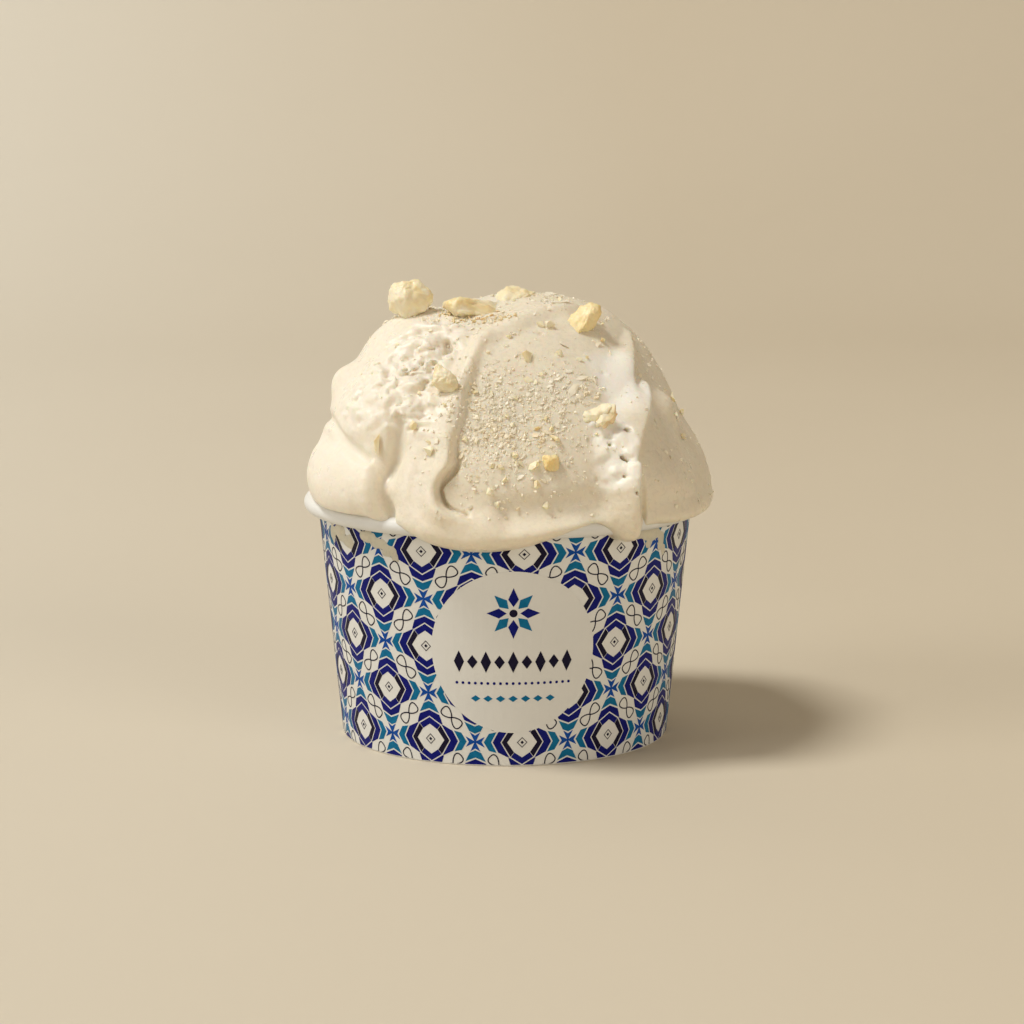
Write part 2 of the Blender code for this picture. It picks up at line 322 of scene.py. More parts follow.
def paper_material(name, colour, roughness, fibre=0.35):
    """Coated board: a faint fibre grain across a nearly even tone."""
    material, tree, shader = base_material(name, colour, roughness)
    place = object_coordinates(tree, (1, 1, 2.6))
    grain = noise_texture(tree, place, 1500.0, 5.0, 0.7)
    broad = noise_texture(tree, place, 60.0, 3.0)
    tone = ramp(tree, broad, [(0.3, scaled(colour, 0.975)), (0.7, colour)])
    tree.links.new(tone, shader.inputs["Base Color"])
    vary_roughness(tree, shader, grain, (0.3, roughness - 0.06), (0.7, roughness + 0.06))
    bump(tree, shader, grain, fibre, 0.00005)
    return material


def ink_material(name, colour):
    """Flat printing ink: the tone thins a little where the paper's grain shows through."""
    material, tree, shader = base_material(name, colour, 0.45)
    shader.inputs["Specular IOR Level"].default_value = 0.10
    place = object_coordinates(tree)
    cover = noise_texture(tree, place, 700.0, 4.0, 0.6)
    lighter = tuple(c * 1.25 + 0.004 for c in colour)
    tone = ramp(tree, cover, [(0.38, colour), (0.68, lighter)])
    tree.links.new(tone, shader.inputs["Base Color"])
    vary_roughness(tree, shader, cover, (0.3, 0.36), (0.7, 0.46))
    bump(tree, shader, noise_texture(tree, place, 1500.0, 4.0), 0.25, 0.00004)
    return material


# ---- gelato: the heap as a distance field

CENTRE = np.array([0.0, 0.0, 56.0])   # azimuths and elevations are taken about this point
HEART = ((0.5, 0.5, 57.0), (46.0, 47.0, 44.5))
BULGES = [
    ((7.0, 3.0, 81.0), (31.0, 26.5, 22.5), 6.0),
    ((28.0, -6.0, 62.0), (19.5, 28.0, 14.0), 8.0),
]
SCRAPES = [
    ((0.83, -0.22, 0.53), (36.0, -7.8, 83.9), 5.0),
    ((0.04, -0.83, 0.56), (5.0, -36.5, 80.0), 3.0),
    ((-0.35, 0.74, 0.57), (-14.0, 33.0, 82.0), 4.0),
]
HEAPS = [
    ((-21.0, -12.0, 75.6), (19.4, 26.0, 17.2), 4.0),
    ((-19.0, -4.0, 86.5), (14.6, 19.5, 14.0), 5.0),
    ((-26.0, -9.0, 62.4), (20.0, 30.5, 15.2), 1.0),
    ((16.0, 24.0, 70.0), (22.0, 19.5, 18.0), 3.0),
]
FOLDS = {      # blend, then azimuth, elevation, height and radius along each fold
    "tongue": (2.4, [
        (-10, 61, 0.3, 1.8), (-14, 54, 0.3, 2.4), (-18.5, 47, 0.2, 2.8), (-20.5, 40.5, 0.1, 3.0),
        (-22, 34, 0.1, 3.2), (-23.5, 27, 0.3, 3.5), (-25, 20, 0.9, 3.9), (-27.5, 13.5, 1.5, 4.2),
        (-27, 7, 2.0, 4.4), (-20.5, 0, 2.7, 5.0),
    ]),
    "front_roll": (3.5, [
        (-30, -1, 1.0, 4.0), (-20, -1.6, 2.4, 4.8), (-9, -2.4, 3.2, 5.0), (1, -2, 3.2, 4.8),
        (12, -1, 3.0, 4.4), (25, 0.5, 2.2, 4.2), (37, -0.5, 1.8, 4.0),
    ]),
    "right_drip": (1.4, [
        (37, 11, 0.8, 2.6), (36.5, 6, 1.8, 3.0), (36, 1, 2.8, 3.4), (35.8, -3.5, 3.4, 3.4),
    ]),
    "left_fold": (2.0, [
        (-41, 19, 0.4, 1.6), (-39.5, 11, 1.4, 2.0), (-38, 4, 1.2, 2.2), (-36, 0, 0.8, 2.2),
    ]),
    "curl": (1.2, [
        (-24, 57, 0.8, 1.2), (-27, 61.5, 1.0, 1.3), (-34, 62, 1.0, 1.3), (-39, 57, 0.9, 1.3),
        (-38, 50, 0.8, 1.4), (-33, 45.5, 0.6, 1.4),
    ]),
    "right_roll": (2.5, [
        (46, -1, 1.2, 3.0), (54, -0.5, 2.0, 3.2), (66, 0.5, 1.6, 3.0), (78, 1.5, 0.6, 2.6),
    ]),
    "crest": (2.5, [
        (-14, 60, 0.5, 2.0), (-1, 65, 0.9, 2.2), (14, 69, 0.9, 2.2), (36, 71.5, 0.8, 2.0),
        (66, 70, 0.5, 1.8),
    ]),
    "back_sweep": (3.0, [
        (-150, 66, 0.8, 2.6), (-172, 44, 2.2, 4.0), (172, 24, 2.8, 4.6), (160, 8, 2.4, 4.6),
    ]),
    "side_sweep": (2.5, [
        (-108, 60, 0.6, 2.2), (-124, 42, 1.6, 3.2), (-130, 22, 2.0, 4.0), (-126, 5, 1.4, 4.0),
    ]),
    "back_roll": (4.0, [
        (185, -1, 1.4, 4.0), (205, -2, 2.2, 4.6), (228, 0, 1.2, 4.0),
    ]),
}
BANKS = {      # azimuth, elevation, height and how far it slopes off to the left and to the right
    "tongue_side": [
        (-9, 61, 0.3, 3.0, 1.4), (-12.6, 56, 0.8, 3.5, 1.7), (-14.2, 47, 1.2, 4.5, 1.8),
        (-14.8, 41, 1.5, 5.0, 1.7), (-14.9, 35, 1.6, 5.5, 1.5), (-15.2, 29, 1.7, 6.0, 1.2),
        (-16.0, 24.3, 2.0, 6.5, 0.9), (-15.8, 20.2, 2.4, 6.5, 0.8), (-15.7, 17, 2.6, 6.5, 0.7),
        (-17.8, 14.2, 2.5, 6.5, 0.7), (-19.2, 10.5, 2.2, 6.0, 0.6), (-18.0, 6.6, 1.9, 5.0, 0.6),
        (-15.4, 4.2, 1.6, 4.0, 0.8), (-11.5, 3.0, 0.7, 4.0, 1.4),
    ],
    "inner_ridge": [
        (84, 53, 0.8, 2.0, 1.0), (72, 50, 2.0, 3.6, 0.9), (61, 45.5, 2.8, 6.0, 0.8),
        (54, 41, 2.5, 7.5, 1.4), (47, 36, 1.4, 7.0, 4.0), (42, 31, 0.5, 5.0, 4.0),
    ],
    "outer_ridge": [
        (61, 39.5, 1.4, 3.0, 1.1), (58, 36.5, 3.0, 5.0, 1.2), (51.5, 31.5, 4.0, 7.0, 1.3),
        (44.5, 26, 4.4, 8.5, 1.4), (39, 20, 4.4, 8.5, 1.5), (36.2, 14, 4.2, 8.5, 1.8),
        (35.4, 8, 3.6, 8.0, 2.2), (35.4, 2, 2.3, 6.0, 3.0), (35.6, -3, 1.0, 5.0, 3.5),
    ],
}
FURROWS = {    # as the folds, with depth in place of height
    "tongue_edge": (0.4, [
        (-14.6, 24, 0.3, 0.8), (-14.1, 20, 0.8, 0.9), (-13.9, 17, 1.3, 0.9),
        (-15.9, 14.3, 1.6, 0.9), (-18.2, 10.7, 1.6, 0.9), (-17.3, 6.9, 1.3, 0.8),
        (-14.6, 4.4, 0.8, 0.8), (-10.5, 3.4, 0.2, 0.7),
    ]),
    "drip_crease": (0.4, [
        (40.8, 14, 0.2, 0.7), (40.6, 8, 0.8, 0.9), (40.4, 2, 1.1, 1.0), (40, -3, 0.9, 1.0),
    ]),
    "tear": (1.0, [
        (-32.5, 29, 0.8, 1.3), (-32, 25, 1.6, 2.0), (-32.5, 20, 2.0, 2.2), (-34, 15, 1.8, 1.6),
        (-34.9, 11, 1.5, 1.2), (-34, 6, 1.3, 1.1), (-32.3, 1, 0.9, 1.0),
    ]),
    "lobe_crease": (1.4, [
        (-100, 24, 0.4, 1.4), (-90, 24.8, 0.9, 1.4), (-80, 25.2, 1.1, 1.4), (-66, 24.8, 1.2, 1.5),
        (-57, 22, 1.1, 1.4), (-48, 18.9, 0.8, 1.3), (-41, 16.4, 0.4, 1.2),
    ]),
    "roll_valley": (2.5, [
        (2, 5, 0.5, 4), (14, 5.5, 0.6, 4), (26, 6.5, 0.5, 4),
    ]),
}
PITS = [       # azimuth, elevation, depth, radius
    (-28.5, 54, 3.2, 1.3), (-30.2, 55.8, 2.6, 1.0), (-32, 57.2, 1.8, 0.9), (-34, 46.5, 1.4, 0.7),
    (-37.5, 42, 1.0, 0.6), (-43, 39.5, 0.9, 0.6), (-60, 43.5, 0.9, 0.7), (-57, 39.5, 0.8, 0.6),
    (-48.5, 32.5, 1.0, 0.6), (-26.5, 31.7, 1.2, 0.6), (-29.4, 41, 1.4, 0.6), (-29.2, 39.5, 1.5, 0.6),
    (-29.0, 38, 1.3, 0.6), (-22, 39.8, 1.4, 0.6), (34, 17.5, 1.3, 0.6), (35, 16.4, 1.2, 0.5),
    (37.5, 24.5, 1.2, 0.7), (32, 21.5, 0.9, 0.5), (35, 8.2, 0.8, 0.4), (33.5, 12.5, 0.8, 0.4),
    (15.6, 4.8, 1.0, 0.5), (27, 12.6, 0.6, 0.4), (21, 12.4, 0.6, 0.4), (53, 18.8, 0.7, 0.5),
    (59, 11.5, 0.8, 0.5),
]
LIP_LEVEL = 57.1
LIP_SAGS = [
    (-7, 7.0, 23), (36, 5.2, 6.5), (57, 2.6, 17), (150, 3.2, 16), (205, 4.8, 13), (258, 2.6, 12),
]
PLUG_CUT = 46.0       # below this the plug is a plain cone, added after the field is meshed
STEPS_PER_SPAN = 3


def dome(points):
    field = ellipsoid(points, *HEART)
    for centre, radii, blend in BULGES:
        field = smooth_union(field, ellipsoid(points, centre, radii), blend)
    for normal, through, blend in SCRAPES:
        field = smooth_cut(field, flat(points, normal, through), blend)
    for centre, radii, blend in HEAPS:
        field = smooth_union(field, ellipsoid(points, centre, radii), blend)
    return field


def direction(azimuth, elevation):
    azimuth, elevation = np.radians(azimuth), np.radians(elevation)
    level = np.cos(elevation)
    return np.stack([np.sin(azimuth) * level, -np.cos(azimuth) * level, np.sin(elevation)], axis=-1)


def angles_of(points):
    offset = points - CENTRE
    azimuth = np.degrees(np.arctan2(offset[:, 0], -offset[:, 1]))
    elevation = np.degrees(np.arctan2(offset[:, 2], np.hypot(offset[:, 0], offset[:, 1])))
    return azimuth, elevation


def surface_radius(ways, nearest=25.0, furthest=62.0):
    """Distance from CENTRE to the dome's outermost surface along each way."""
    reach = np.linspace(furthest, nearest, 60)
    points = CENTRE + ways[:, None, :] * reach[:, None]
    inside = dome(points.reshape(-1, 3)).reshape(points.shape[:-1]) < 0
    first = np.argmax(inside, axis=-1)
    outer, inner = reach[np.maximum(first - 1, 0)], reach[first]
    for _ in range(12):
        middle = (outer + inner) / 2
        solid = dome(CENTRE + ways * middle[:, None]) < 0
        inner = np.where(solid, middle, inner)
        outer = np.where(solid, outer, middle)
    return (outer + inner) / 2


def smooth_rows(rows):
    """Catmull-Rom points through the given rows."""
    rows = np.array(rows, float)
    ends = np.vstack([2 * rows[0] - rows[1], rows, 2 * rows[-1] - rows[-2]])
    out = []
    for a, b, c, d in zip(ends[:-3], ends[1:-2], ends[2:-1], ends[3:]):
        for t in np.arange(STEPS_PER_SPAN) / STEPS_PER_SPAN:
            out.append(0.5 * (2 * b + (c - a) * t + (2 * a - 5 * b + 4 * c - d) * t**2
                              + (3 * b - a - 3 * c + d) * t**3))
    return np.array(out + [rows[-1]])


def place_on_dome(rows, sign):
    """Centres and radii of raised rows (sign 1) or sunk rows (sign -1) laid along the dome."""
    ways = direction(rows[:, 0], rows[:, 1])
    stand = sign * (rows[:, 2] - rows[:, 3])
    return CENTRE + ways * (surface_radius(ways) + stand)[:, None], rows[:, 3]


def near_rope(points, centres, radii, margin):
    reach = radii.max() + margin
    return np.all((points > centres.min(0) - reach) & (points < centres.max(0) + reach), axis=1)


def rope(points, centres, radii):
    field = np.full(len(points), np.inf)
    for a, b, r_a, r_b in zip(centres[:-1], centres[1:], radii[:-1], radii[1:]):
        along = np.clip((points - a) @ (b - a) / ((b - a) @ (b - a)), 0, 1)
        reach = np.linalg.norm(points - a - along[:, None] * (b - a), axis=-1)
        field = np.minimum(field, reach - (r_a + (r_b - r_a) * along))
    return field


def add_ropes(field, points):
    for sign, ropes in ((1, FOLDS), (-1, FURROWS)):
        for blend, rows in ropes.values():
            centres, radii = place_on_dome(smooth_rows(rows), sign)
            close = near_rope(points, centres, radii, blend + 1)
            change = rope(points[close], centres, radii)
            if sign > 0:
                field[close] = smooth_union(field[close], change, blend)
            else:
                field[close] = smooth_cut(field[close], -change, blend)
    return field


def add_banks(field, points):
    """Ridges that climb slowly on their left and drop off on their right, laid from top to bottom."""
    for rows in BANKS.values():
        rows = smooth_rows(rows)
        ways = direction(rows[:, 0], rows[:, 1])
        spine = CENTRE + ways * surface_radius(ways)[:, None]
        close = near_rope(points, spine, rows[:, 3], 1.0)
        spots = points[close]
        nearest = np.full(len(spots), np.inf)
        shape = np.zeros((3, len(spots)))
        for i in range(len(spine) - 1):
            run = spine[i + 1] - spine[i]
            share = np.clip((spots - spine[i]) @ run / (run @ run), 0, 1)
            offset = spots - spine[i] - share[:, None] * run
            offset -= (offset @ ways[i])[:, None] * ways[i]
            away = np.linalg.norm(offset, axis=1)
            side = np.sign(offset @ np.cross(ways[i], run))
            closer = away < nearest
            nearest[closer] = away[closer]
            height = rows[i, 2:5, None] + (rows[i + 1, 2:5] - rows[i, 2:5])[:, None] * share
            width = np.where(side < 0, height[1], height[2])
            shape[:, closer] = np.stack([height[0], width, away])[:, closer]
        field[close] -= shape[0] * smoothstep(shape[1], 0, shape[2])
    return field


def torn_weight(points):
    """How rough the gelato is: torn on the left heap, in the right fold and in patches behind."""
    azimuth, elevation = angles_of(points)
    left = band(azimuth, -62, -47, -27, -19) * band(elevation, 20, 30, 60, 72)
    right = band(azimuth, 25, 30, 36.5, 41) * band(elevation, 6, 12, 28, 36)
    patches = smoothstep(0.0, 0.5, lattice_noise(points, 17.0, 3))
    behind = smoothstep(95, 120, np.abs(azimuth)) * smoothstep(8, 18, elevation) * patches
    return np.clip(left + 0.9 * right + 0.8 * behind, 0, 1)


def crumbed_weight(points):
    """Where nut dust lies thickest on the front, the gelato itself is pimpled."""
    azimuth, elevation = angles_of(points)
    across, up = (azimuth - 1) / 17, (elevation - 28) / 18
    return smoothstep(1.1, 0.5, np.hypot(across, up) + 0.25 * lattice_noise(points, 5.0, 15))


def aerated_and_painted_light_weight(points):
    """Whiter cream: torn gelato holds more air, and the whitening of the left side, which faces the key
    light, and of the lit fold on the right is painted light.
    """
    azimuth, elevation = angles_of(points)
    # Painted light: the left side, which faces the key light, is whitened.
    side = band(azimuth, -170, -140, -26, -16)
    lobe = smoothstep(-34, -48, azimuth) * smoothstep(42, 26, elevation)
    # Painted light: the lit face of the fold on the right is whitened.
    painted_light_ridge = band(azimuth, 33, 40, 54, 64) * band(elevation, 26, 34, 48, 54)
    torn = torn_weight(points) * np.where(azimuth < 0, 0.15, 1)
    return np.clip(torn + painted_light_ridge + side * (0.3 + 0.2 * lobe), 0, 1)


def scattered_pits():
    """Small holes left by air, many where the surface is torn and few elsewhere."""
    random = np.random.default_rng(21)
    azimuth = random.uniform(-180, 180, 1500)
    elevation = np.degrees(np.arcsin(random.uniform(0.02, 0.97, 1500)))
    ways = direction(azimuth, elevation)
    weight = torn_weight(CENTRE + ways * 45)
    keep = random.uniform(0, 1, 1500) < 0.03 + 0.08 * weight
    radius = random.uniform(0.3, 0.5, 1500) + 0.3 * weight * random.uniform(0, 1, 1500)
    depth = radius * random.uniform(0.8, 1.4, 1500)
    return np.column_stack([azimuth, elevation, depth, radius])[keep]


def add_pits(field, points):
    """Each pit is a round-ended hole that runs straight out of the surface."""
    rows = np.vstack([np.array(PITS), scattered_pits()])
    ways = direction(rows[:, 0], rows[:, 1])
    floors = CENTRE + ways * (surface_radius(ways) - rows[:, 2] + rows[:, 3])[:, None]
    order = np.argsort(points[:, 0], kind="stable")
    across = points[order, 0]
    for floor, way, radius in zip(floors, ways, rows[:, 3]):
        mouth = floor + way * 5
        low = np.minimum(floor, mouth) - radius - 1
        high = np.maximum(floor, mouth) + radius + 1
        picked = order[np.searchsorted(across, low[0]):np.searchsorted(across, high[0])]
        spots = points[picked]
        close = picked[np.all((spots[:, 1:] > low[1:]) & (spots[:, 1:] < high[1:]), axis=1)]
        offset = points[close] - floor
        along = np.clip(offset @ way, 0, 6)
        hole = radius - np.linalg.norm(offset - along[:, None] * way, axis=1)
        field[close] = smooth_cut(field[close], hole, 0.5)
    return field


def roughen(field, points):
    """Broad unevenness, creases where the gelato is torn, pimples under the dust and a fine grain."""
    torn = torn_weight(points)
    field = field - 0.22 * lattice_noise(points, 9.0, 5)
    warp = np.stack([lattice_noise(points, 4.0, seed) for seed in (10, 11, 12)], axis=-1)
    warped = points * np.array([1.0, 1.0, 1.45]) + 1.6 * warp
    creased = -0.45
    for share, scale, seed in ((1.0, 4.2, 6), (0.6, 2.2, 7), (0.25, 1.2, 17)):
        creased = creased + share * np.abs(lattice_noise(warped, scale, seed))
    field = field - 0.10 * lattice_noise(points, 3.4, 13) - 1.6 * torn * np.minimum(creased, 0.7)
    pimples = np.abs(lattice_noise(points, 1.3, 14)) * 2 - 0.4
    field = field - 0.22 * crumbed_weight(points) * pimples
    return field - (0.03 + 0.10 * torn) * lattice_noise(points, 1.1, 8)


def lip_height(azimuth):
    level = np.full(np.shape(azimuth), LIP_LEVEL)
    for middle, depth, half_width in LIP_SAGS:
        away = np.abs((azimuth - middle + 180) % 360 - 180)
        level = level - depth * np.exp(-(away / half_width) ** 3)
    return level


def cut_at_lip(field, points):
    """The heap ends in a rounded lip over the rim, and goes on as a plug inside the cup."""
    azimuth = np.degrees(np.arctan2(points[:, 0], -points[:, 1]))
    level = lip_height(azimuth) + 0.25 * lattice_noise(points, 6.0, 9)
    hang = smoothstep(0.5, 5.0, LIP_LEVEL - level)
    over = smooth_cut(field, level - points[:, 2], 1.2 + 3.0 * hang)
    plug = np.hypot(points[:, 0], points[:, 1]) - (wall_radius(points[:, 2]) - PAPER)
    plug = np.maximum(plug, points[:, 2] - CUP_HEIGHT)
    return np.minimum(over, plug)


def heap_mesh_arrays():
    voxel = 0.5
    low, high = np.array([-52.0, -53.0, PLUG_CUT - 2]), np.array([53.0, 52.0, 107.0])
    axes = [np.arange(a, b, voxel) for a, b in zip(low, high)]
    grid = np.stack(np.meshgrid(*axes, indexing="ij"), axis=-1).reshape(-1, 3)
    field = dome(grid)
    radius = np.hypot(grid[:, 0], grid[:, 1])
    near = (np.abs(field) < 7.0) | (grid[:, 2] < CUP_HEIGHT + 2) & (radius < 54)
    points = grid[near]
    value = add_ropes(field[near], points)
    value = add_banks(value, points)
    value = roughen(value, points)
    value = add_pits(value, points)
    value = cut_at_lip(value, points)
    field[near] = np.maximum(value, PLUG_CUT - points[:, 2])
    shape = [len(axis) for axis in axes]
    band = 3 * voxel
    volume = openvdb.FloatGrid(band)
    volume.copyFromArray(np.clip(field, -band, band).reshape(shape).astype(np.float32))
    volume.transform = openvdb.createLinearTransform(voxelSize=voxel)
    verts, quads = volume.convertToQuads(0.0)
    return np.asarray(verts, float) + low, quads


def extend_plug(bm):
    """Open the flat underside and carry its edge down the cup as a cone with a flat end."""
    bottom = [f for f in bm.faces if all(v.co.z < (PLUG_CUT + 0.3) * MM for v in f.verts)]
    bmesh.ops.delete(bm, geom=bottom, context="FACES")
    edge = [e for e in bm.edges if e.is_boundary]
    start = PLUG_CUT * MM
    for height in (BASE_TOP + 20.0, BASE_TOP + 0.05):
        made = bmesh.ops.extrude_edge_only(bm, edges=edge)["geom"]
        shrink = wall_radius(height) / wall_radius(start / MM)
        for vert in (g for g in made if isinstance(g, bmesh.types.BMVert)):
            vert.co = Vector((vert.co.x * shrink, vert.co.y * shrink, height * MM))
        edge = [g for g in made if isinstance(g, bmesh.types.BMEdge)]
        start = height * MM
    bmesh.ops.edgeloop_fill(bm, edges=edge)


def largest_shell(bm):
    """Drop loose specks that the pits may have cut free."""
    unseen, shells = set(bm.verts), []
    while unseen:
        stack, shell = [unseen.pop()], []
        while stack:
            vert = stack.pop()
            shell.append(vert)
            for edge in vert.link_edges:
                other = edge.other_vert(vert)
                if other in unseen:
                    unseen.discard(other)
                    stack.append(other)
        shells.append(shell)
    for shell in sorted(shells, key=len)[:-1]:
        bmesh.ops.delete(bm, geom=shell, context="VERTS")


def build_gelato(material):
    verts, quads = heap_mesh_arrays()
    mesh = mesh_from_arrays("gelato_heap", verts, quads)
    bm = bmesh.new()
    bm.from_mesh(mesh)
    largest_shell(bm)
    extend_plug(bm)
    relax(bm, [v for v in bm.verts if v.co.z > (PLUG_CUT + 1) * MM], 0.2)
    bmesh.ops.recalc_face_normals(bm, faces=bm.faces)
    tree = BVHTree.FromBMesh(bm)
    bm.to_mesh(mesh)
    bm.free()
    mesh.shade_smooth()
    # Mask for whiter cream: aerated torn gelato plus painted light on the lit faces.
    weight = aerated_and_painted_light_weight(vertex_places(mesh)).astype(np.float32)
    mesh.attributes.new("aerated_and_painted_light", "FLOAT", "POINT").data.foreach_set("value", weight)
    heap = new_object("gelato_heap", mesh, material)
    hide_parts("gelato")
    return tree


def on_heap(tree, azimuth, elevation):
    """The heap's surface point and normal in millimetres along a way from CENTRE."""
    way = Vector(direction(azimuth, elevation))
    start = Vector(CENTRE * MM) + way * 0.08
    spot, normal, _, _ = tree.ray_cast(start, -way)
    return np.array(spot) / MM, np.array(normal)


# ---- nuts, crumbs and flakes

def refine_nut(name):
    """A CAD nut's hull with worn edges, chipped faces and a grainy surface."""
    bm = bmesh.new()
    bm.from_mesh(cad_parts[name].data)
    bmesh.ops.remove_doubles(bm, verts=bm.verts, dist=1e-6)
    middle = sum((v.co for v in bm.verts), Vector()) / len(bm.verts)
    size = max((v.co - middle).length for v in bm.verts)
    bmesh.ops.subdivide_edges(bm, edges=bm.edges, cuts=3, use_grid_fill=True)
    bmesh.ops.triangulate(bm, faces=bm.faces)
    for _ in range(2):
        relax(bm, bm.verts, 0.5)
    bmesh.ops.subdivide_edges(bm, edges=bm.edges, cuts=2, use_grid_fill=True)
    bmesh.ops.recalc_face_normals(bm, faces=bm.faces)
    bm.normal_update()
    shift = Vector((size * 7919, len(bm.verts), 0))
    for vert in bm.verts:
        coarse = noise_vector(vert.co / (4.2 * MM) + shift) * 0.8 * MM
        coarse += noise_vector(vert.co / (1.9 * MM) + shift) * 0.3 * MM
        grain = fractal(vert.co / (1.0 * MM) + shift, 0.7, 2.0, 5) * 0.27 * MM
        vert.co += coarse + vert.normal * grain
    return finished_mesh(bm, name + "_kernel", 38)


SHAVING = "nut_6"
SHAVING_STRIPS = [     # shift along and across, half length, half width in mm, and lean in degrees
    (-0.5, 0.5, 4.2, 1.5, 0), (2.0, -1.0, 2.6, 1.2, 28),
]
SHAVING_STEPS = (28, 12)      # faces along and across each strip
TOASTED_STEPS = 2             # of those across, how many are toasted


def shaving_mesh(name):
    """Two thin curled strips where the CAD nut is, ragged, and toasted along their lower edges."""
    middle = box_middle(name)
    run = Vector((0.90, -0.22, 0.38)).normalized()
    out = Vector((0.42, -0.72, 0.55))
    out = (out - run * out.dot(run)).normalized()
    rise = out.cross(run)
    long_steps, wide_steps = SHAVING_STEPS
    bm = bmesh.new()
    for shift, lift, half_length, half_width, lean in SHAVING_STRIPS:
        lean = math.radians(lean)
        along = run * math.cos(lean) + rise * math.sin(lean)
        across = rise * math.cos(lean) - run * math.sin(lean)
        start = middle + (run * shift + rise * lift) * MM
        rows = []
        for i in range(long_steps + 1):
            u = 2 * i / long_steps - 1
            width = half_width * (1 - abs(u) ** 3) + 0.2
            row = []
            for j in range(wide_steps + 1):
                v = (2 * j / wide_steps - 1) * width
                ragged = noise_vector(Vector((u * 3.1, v * 0.9, 4.0 + shift)))
                place = along * (u * half_length + ragged.x * 0.8) + across * (v + ragged.y * 0.6)
                place += out * (0.9 - 0.34 * v * v + 0.6 * u * u + ragged.z * 0.3)
                row.append(bm.verts.new(start + place * MM))
            rows.append(row)
        for a, b in zip(rows[:-1], rows[1:]):
            for j in range(wide_steps):
                face = bm.faces.new((a[j], a[j + 1], b[j + 1], b[j]))
                face.material_index = 1 if j < TOASTED_STEPS else 0
    for vert in thicken(bm):
        vert.co -= out * (0.5 + 0.3 * fractal(vert.co / MM, 0.9, 2.0, 3)) * MM
    bmesh.ops.recalc_face_normals(bm, faces=bm.faces)
    return finished_mesh(bm, name + "_kernel", 40)


NUT_CHANGES = {      # how much larger, and the way it is moved in mm
    "nut_1": (1.05, (0.9, 0.0, 0.2)),
    "nut_2": (1.13, (1.3, -0.2, -0.9)),
    "nut_3": (1.20, (-0.9, -0.3, -1.5)),
    "nut_4": (1.22, (-1.8, -1.4, -2.5)),
    "nut_5": (1.15, (0.8, -2.9, -3.0)),
    "nut_6": (1.15, (-0.9, 0.0, 0.1)),
}


def build_nuts(pale, golden, toasted):
    looks = {"nut_4": golden, "nut_7": golden}
    for name in sorted(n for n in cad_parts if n.startswith("nut_")):
        mesh = shaving_mesh(name) if name == SHAVING else refine_nut(name)
        if name in NUT_CHANGES:
            growth, move = NUT_CHANGES[name]
            middle = box_middle(name)
            mesh.transform(Matrix.Translation(middle + Vector(move) * MM) @ Matrix.Scale(growth, 4)
                           @ Matrix.Translation(-middle))
        kernel = new_object(name + "_kernel", mesh, looks.get(name, pale))
        if name == SHAVING:
            mesh.materials.append(toasted)
        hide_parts(name)


def shard(random, points=9):
    """Corner points and hull faces of one broken crumb about a millimetre across."""
    ways = random.normal(size=(points, 3))
    ways /= np.linalg.norm(ways, axis=1)[:, None]
    bm = bmesh.new()
    for corner in ways / 2 * random.uniform(0.7, 1.15, (points, 1)):
        bm.verts.new(corner)
    bmesh.ops.convex_hull(bm, input=bm.verts)
    bmesh.ops.delete(bm, geom=[v for v in bm.verts if not v.link_faces], context="VERTS")
    bmesh.ops.recalc_face_normals(bm, faces=bm.faces)
    bm.verts.index_update()
    verts = np.array([v.co for v in bm.verts])
    faces = np.array([[v.index for v in f.verts] for f in bm.faces])
    bm.free()
    return verts, faces


def scatter(name, tree, spots, material, seed, sink=0.25, tilt=0.35):
    """Join shards at (azimuth, elevation, size) spots, each on the heap with a random turn."""
    random = np.random.default_rng(seed)
    shapes = [shard(random) for _ in range(60)]
    all_verts, all_faces, count = [], [], 0
    for azimuth, elevation, size in spots:
        place, normal = on_heap(tree, azimuth, elevation)
        verts, faces = shapes[random.integers(len(shapes))]
        lean = np.array(normal) + random.normal(size=3) * tilt
        facing = Vector(lean).to_track_quat("Z", "Y").to_matrix()
        turn = np.array(facing @ Matrix.Rotation(random.uniform(0, 6.28), 3, "Z"))
        all_verts.append((verts * size) @ turn.T + place + normal * size[2] * (0.5 - sink))
        all_faces.append(faces + count)
        count += len(verts)
    mesh = mesh_from_arrays(name, np.vstack(all_verts), np.vstack(all_faces), smooth=False)
    return new_object(name, mesh, material)


CLUSTERS = [     # azimuth, elevation, spread of each, share: where nut dust gathers
    (-4, 34, 8, 8, 40), (5, 25, 12, 7, 34), (23, 40, 9, 5, 18), (80, 76, 26, 5, 8),
    (-8, 20, 7, 8, 10), (10, 12, 14, 6, 8), (-35, 70, 26, 6, 10), (40, 55, 22, 12, 6),
    (78, 28, 12, 12, 5), (60, 14, 16, 8, 3), (-30, 44, 12, 9, 4), (-100, 60, 34, 12, 9),
    (160, 50, 40, 14, 14), (-160, 30, 30, 14, 8), (120, 34, 22, 14, 8),
]
DUST_COUNT = 3400
SHOWN_FLAKES = [   # azimuth, elevation and size of the flakes that stand out
    (31.5, 56, (4.6, 1.8, 0.6)), (26, 39, (4.6, 3.0, 0.7)), (52.8, 50, (2.4, 1.1, 0.5)),
    (22, 44, (3.6, 1.6, 0.5)), (27, 46, (3.4, 1.6, 0.6)), (18, 42, (2.8, 1.4, 0.5)),
    (31, 43, (3.0, 1.5, 0.6)), (36, 42, (2.6, 1.5, 0.6)), (60, 72, (6.0, 2.6, 0.6)),
    (95, 78, (5.0, 2.4, 0.6)), (75, 66, (4.0, 2.0, 0.5)), (-12.9, 20, (2.6, 1.4, 0.6)),
]
